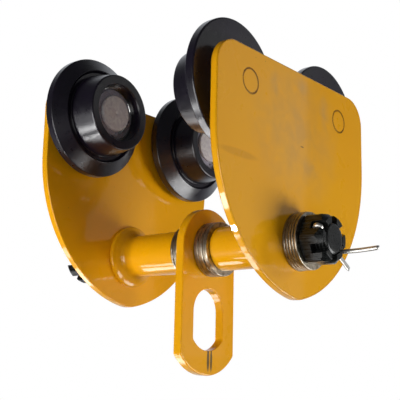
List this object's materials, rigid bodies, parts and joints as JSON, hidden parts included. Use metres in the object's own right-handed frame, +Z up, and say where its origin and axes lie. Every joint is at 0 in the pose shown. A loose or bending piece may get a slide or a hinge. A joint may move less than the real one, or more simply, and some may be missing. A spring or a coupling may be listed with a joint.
{
  "type": "beam trolley",
  "caption": "Push-travel beam trolley: side plates with flanged wheels that run on a beam's lower flange, joined by a cross shaft that carries a slotted suspension plate.",
  "frame": {"origin": "midway between the side plates and between the wheel axles, on the level that the lowest line of the wheel treads rolls on", "axes": "+X along the beam (front), +Y across the beam along the cross shaft (left), +Z up"},
  "size_m": [0.225, 0.3017, 0.2608],
  "materials": {
    "yellow_enamel": "gloss",
    "black_enamel": "gloss",
    "zinc_plated_steel": "satin",
    "black_oxide_steel": "satin",
    "turned_steel": "brushed",
    "bearing_steel": "polished",
    "spring_steel": "satin"
  },
  "bodies": {
    "frame": {"right_side_plate": "yellow_enamel", "right_spacer_tube": "yellow_enamel", "right_tube_collar": "yellow_enamel", "right_castle_nut": "black_oxide_steel", "right_cotter_pin": "zinc_plated_steel", "right_outer_washers": "zinc_plated_steel", "right_inner_washers": "zinc_plated_steel", "left_side_plate": "yellow_enamel", "left_spacer_tube": "yellow_enamel", "left_tube_collar": "yellow_enamel", "left_castle_nut": "black_oxide_steel", "left_cotter_pin": "zinc_plated_steel", "left_outer_washers": "zinc_plated_steel", "left_inner_washers": "zinc_plated_steel", "cross_shaft": "black_oxide_steel", "front_right_wheel_axle": "turned_steel", "front_right_circlip": "spring_steel", "front_right_bearing_inner_rings": "bearing_steel", "front_left_wheel_axle": "turned_steel", "front_left_circlip": "spring_steel", "front_left_bearing_inner_rings": "bearing_steel", "rear_right_wheel_axle": "turned_steel", "rear_right_circlip": "spring_steel", "rear_right_bearing_inner_rings": "bearing_steel", "rear_left_wheel_axle": "turned_steel", "rear_left_circlip": "spring_steel", "rear_left_bearing_inner_rings": "bearing_steel"},
    "suspension_plate": {"suspension_plate": "yellow_enamel"},
    "front_right_wheel": {"front_right_wheel": "black_enamel", "front_right_bearing_outer_rings": "bearing_steel", "front_right_bearing_shields": "spring_steel"},
    "front_right_ball_set": {"front_right_bearing_balls": "bearing_steel", "front_right_bearing_cages": "spring_steel"},
    "front_left_wheel": {"front_left_wheel": "black_enamel", "front_left_bearing_outer_rings": "bearing_steel", "front_left_bearing_shields": "spring_steel"},
    "front_left_ball_set": {"front_left_bearing_balls": "bearing_steel", "front_left_bearing_cages": "spring_steel"},
    "rear_right_wheel": {"rear_right_wheel": "black_enamel", "rear_right_bearing_outer_rings": "bearing_steel", "rear_right_bearing_shields": "spring_steel"},
    "rear_right_ball_set": {"rear_right_bearing_balls": "bearing_steel", "rear_right_bearing_cages": "spring_steel"},
    "rear_left_wheel": {"rear_left_wheel": "black_enamel", "rear_left_bearing_outer_rings": "bearing_steel", "rear_left_bearing_shields": "spring_steel"},
    "rear_left_ball_set": {"rear_left_bearing_balls": "bearing_steel", "rear_left_bearing_cages": "spring_steel"}
  },
  "joints": [
    {"name": "suspension_swing", "type": "hinge", "parent": "frame", "child": "suspension_plate", "pos_m": [0, -0.00125, -0.0755], "axis": [0, 1, 0], "range_deg": [-115, 115]},
    {"name": "front_right_wheel_spin", "type": "hinge", "parent": "frame", "child": "front_right_wheel", "pos_m": [0.0625, -0.05965, 0.0345], "axis": [0, 1, 0], "continuous": true},
    {"name": "front_right_ball_set_orbit", "type": "hinge", "parent": "frame", "child": "front_right_ball_set", "pos_m": [0.0625, -0.05965, 0.0345], "axis": [0, 1, 0], "continuous": true},
    {"name": "front_left_wheel_spin", "type": "hinge", "parent": "frame", "child": "front_left_wheel", "pos_m": [0.0625, 0.05965, 0.0345], "axis": [0, 1, 0], "continuous": true},
    {"name": "front_left_ball_set_orbit", "type": "hinge", "parent": "frame", "child": "front_left_ball_set", "pos_m": [0.0625, 0.05965, 0.0345], "axis": [0, 1, 0], "continuous": true},
    {"name": "rear_right_wheel_spin", "type": "hinge", "parent": "frame", "child": "rear_right_wheel", "pos_m": [-0.0625, -0.05965, 0.0345], "axis": [0, 1, 0], "continuous": true},
    {"name": "rear_right_ball_set_orbit", "type": "hinge", "parent": "frame", "child": "rear_right_ball_set", "pos_m": [-0.0625, -0.05965, 0.0345], "axis": [0, 1, 0], "continuous": true},
    {"name": "rear_left_wheel_spin", "type": "hinge", "parent": "frame", "child": "rear_left_wheel", "pos_m": [-0.0625, 0.05965, 0.0345], "axis": [0, 1, 0], "continuous": true},
    {"name": "rear_left_ball_set_orbit", "type": "hinge", "parent": "frame", "child": "rear_left_ball_set", "pos_m": [-0.0625, 0.05965, 0.0345], "axis": [0, 1, 0], "continuous": true}
  ],
  "couplings": [
    {"joint": "front_right_ball_set_orbit", "follows": "front_right_wheel_spin", "ratio": 0.56182},
    {"joint": "front_left_ball_set_orbit", "follows": "front_left_wheel_spin", "ratio": 0.56182},
    {"joint": "rear_right_ball_set_orbit", "follows": "rear_right_wheel_spin", "ratio": 0.56182},
    {"joint": "rear_left_ball_set_orbit", "follows": "rear_left_wheel_spin", "ratio": 0.56182}
  ]
}
